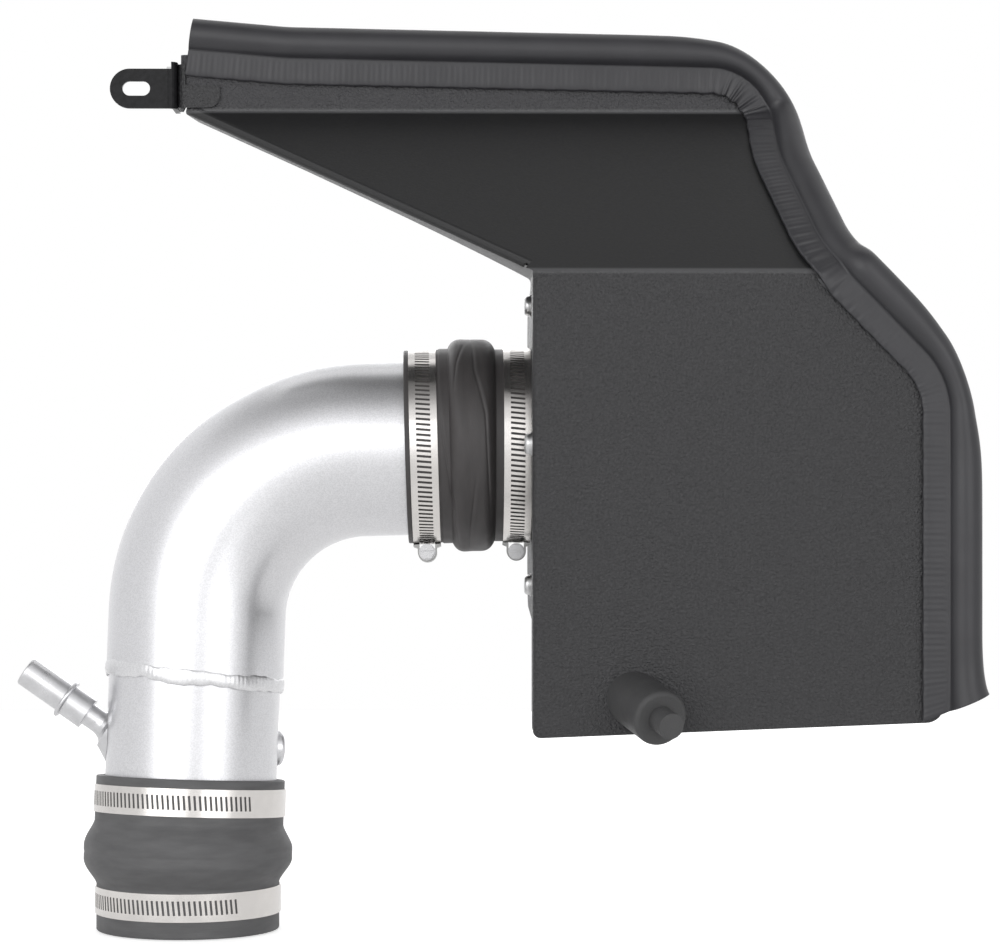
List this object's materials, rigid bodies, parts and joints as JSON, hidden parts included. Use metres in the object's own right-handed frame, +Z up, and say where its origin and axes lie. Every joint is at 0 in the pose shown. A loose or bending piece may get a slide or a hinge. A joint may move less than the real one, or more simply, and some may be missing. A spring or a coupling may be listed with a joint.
{
  "type": "cold air intake pipe",
  "caption": "Bent metal air intake pipe with humped rubber couplers, worm drive clamps, a folded heat shield with bulb edge trim and a conical air filter behind it.",
  "frame": {"origin": "centre of the open end of the engine coupler, on its axis", "axes": "+Z up along the engine coupler into the pipe, +X right towards the heat shield, +Y away from the viewer of the picture"},
  "size_m": [0.4941, 0.2098, 0.473],
  "materials": {
    "pipe_silver": "fine silver metallic, satin",
    "nipple_aluminium": "machined",
    "bung_steel": "turned",
    "engine_rubber": "satin moulded",
    "filter_rubber": "satin moulded",
    "band_steel": "bright stainless strip",
    "housing_steel": "pressed stainless",
    "worm_steel": "zinc plated",
    "shield_coat": "fine textured powder coat",
    "trim_rubber": "satin extruded",
    "bracket_coat": "dark satin coat",
    "zinc_steel": "zinc plated",
    "adapter_metal": "dull machined",
    "filter_mould": "matt moulded",
    "filter_cotton": "oiled gauze",
    "peg_rubber": "matt moulded"
  },
  "bodies": {
    "root": {"intake_elbow": "pipe_silver", "lower_tube": "pipe_silver", "vent_nipple": "nipple_aluminium", "sensor_bung": "bung_steel", "bung_plug": "bung_steel", "engine_coupler": "engine_rubber", "filter_coupler": "filter_rubber", "engine_clamp_band": "band_steel", "engine_clamp_housing": "housing_steel", "engine_clamp_screw": "worm_steel", "lower_tube_clamp_band": "band_steel", "lower_tube_clamp_housing": "housing_steel", "lower_tube_clamp_screw": "worm_steel", "elbow_clamp_band": "band_steel", "elbow_clamp_housing": "housing_steel", "elbow_clamp_screw": "worm_steel", "adapter_clamp_band": "band_steel", "adapter_clamp_housing": "housing_steel", "adapter_clamp_screw": "worm_steel", "filter_clamp_band": "band_steel", "filter_clamp_housing": "housing_steel", "filter_clamp_screw": "worm_steel", "heat_shield": "shield_coat", "side_plate": "shield_coat", "end_doubler": "shield_coat", "edge_trim": "trim_rubber", "mounting_bracket": "bracket_coat", "bracket_bolt": "zinc_steel", "bracket_nut": "zinc_steel", "filter_adapter": "adapter_metal", "adapter_screws": "zinc_steel", "adapter_washers": "zinc_steel", "filter_base": "filter_mould", "filter_media": "filter_cotton", "filter_cap": "filter_mould", "locating_peg": "peg_rubber", "peg_washer": "zinc_steel", "peg_nut": "zinc_steel"}
  },
  "joints": []
}
